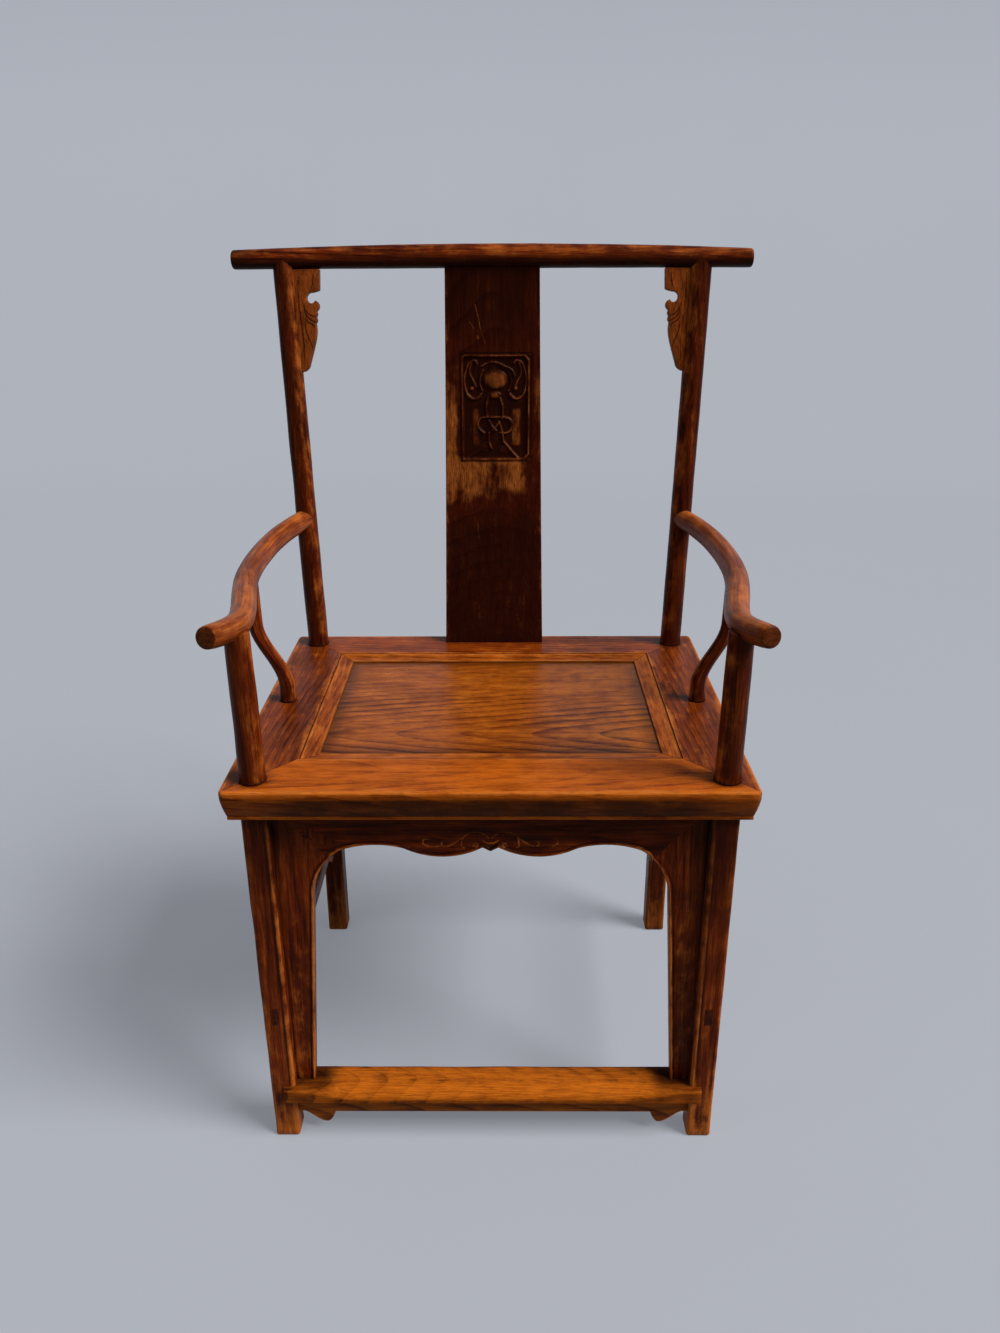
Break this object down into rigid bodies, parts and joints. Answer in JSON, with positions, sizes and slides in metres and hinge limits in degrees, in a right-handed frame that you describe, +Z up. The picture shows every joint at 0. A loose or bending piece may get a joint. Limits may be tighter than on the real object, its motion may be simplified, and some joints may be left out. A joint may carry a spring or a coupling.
{
  "type": "official hat chair",
  "caption": "High-backed lacquered elm armchair with a protruding crest rail, a bowed splat, curved round arms, a framed panel seat, an arched front apron and a foot rail.",
  "frame": {"origin": "on the floor, below the centre of the chair's bounding box", "axes": "+Z up, +Y towards the back of the chair (the sitter faces -Y), +X to the viewer's right when looking at the chair from the front"},
  "size_m": [0.684, 0.5346, 1.062],
  "materials": {
    "lacquered_elm": "satin",
    "panel_elm": "satin",
    "splat_elm": "satin"
  },
  "bodies": {
    "root": {"seat_rail_front": "lacquered_elm", "seat_rail_back": "lacquered_elm", "seat_rail_left": "lacquered_elm", "seat_rail_right": "lacquered_elm", "seat_panel": "panel_elm", "seat_batten_left": "lacquered_elm", "seat_batten_right": "lacquered_elm", "seat_moulding_front": "lacquered_elm", "seat_moulding_back": "lacquered_elm", "seat_moulding_left": "lacquered_elm", "seat_moulding_right": "lacquered_elm", "front_post_left": "lacquered_elm", "front_post_right": "lacquered_elm", "back_post_left": "lacquered_elm", "back_post_right": "lacquered_elm", "side_post_left": "lacquered_elm", "side_post_right": "lacquered_elm", "arm_left": "lacquered_elm", "arm_right": "lacquered_elm", "crest_rail": "lacquered_elm", "crest_bracket_left": "lacquered_elm", "crest_bracket_right": "lacquered_elm", "splat": "splat_elm", "front_apron": "lacquered_elm", "arch_board_left": "lacquered_elm", "arch_board_right": "lacquered_elm", "foot_rail": "lacquered_elm", "foot_rail_apron": "lacquered_elm", "side_apron_left": "lacquered_elm", "side_apron_right": "lacquered_elm", "back_apron": "lacquered_elm", "side_stretcher_left": "lacquered_elm", "side_stretcher_right": "lacquered_elm", "back_stretcher": "lacquered_elm"}
  },
  "joints": []
}
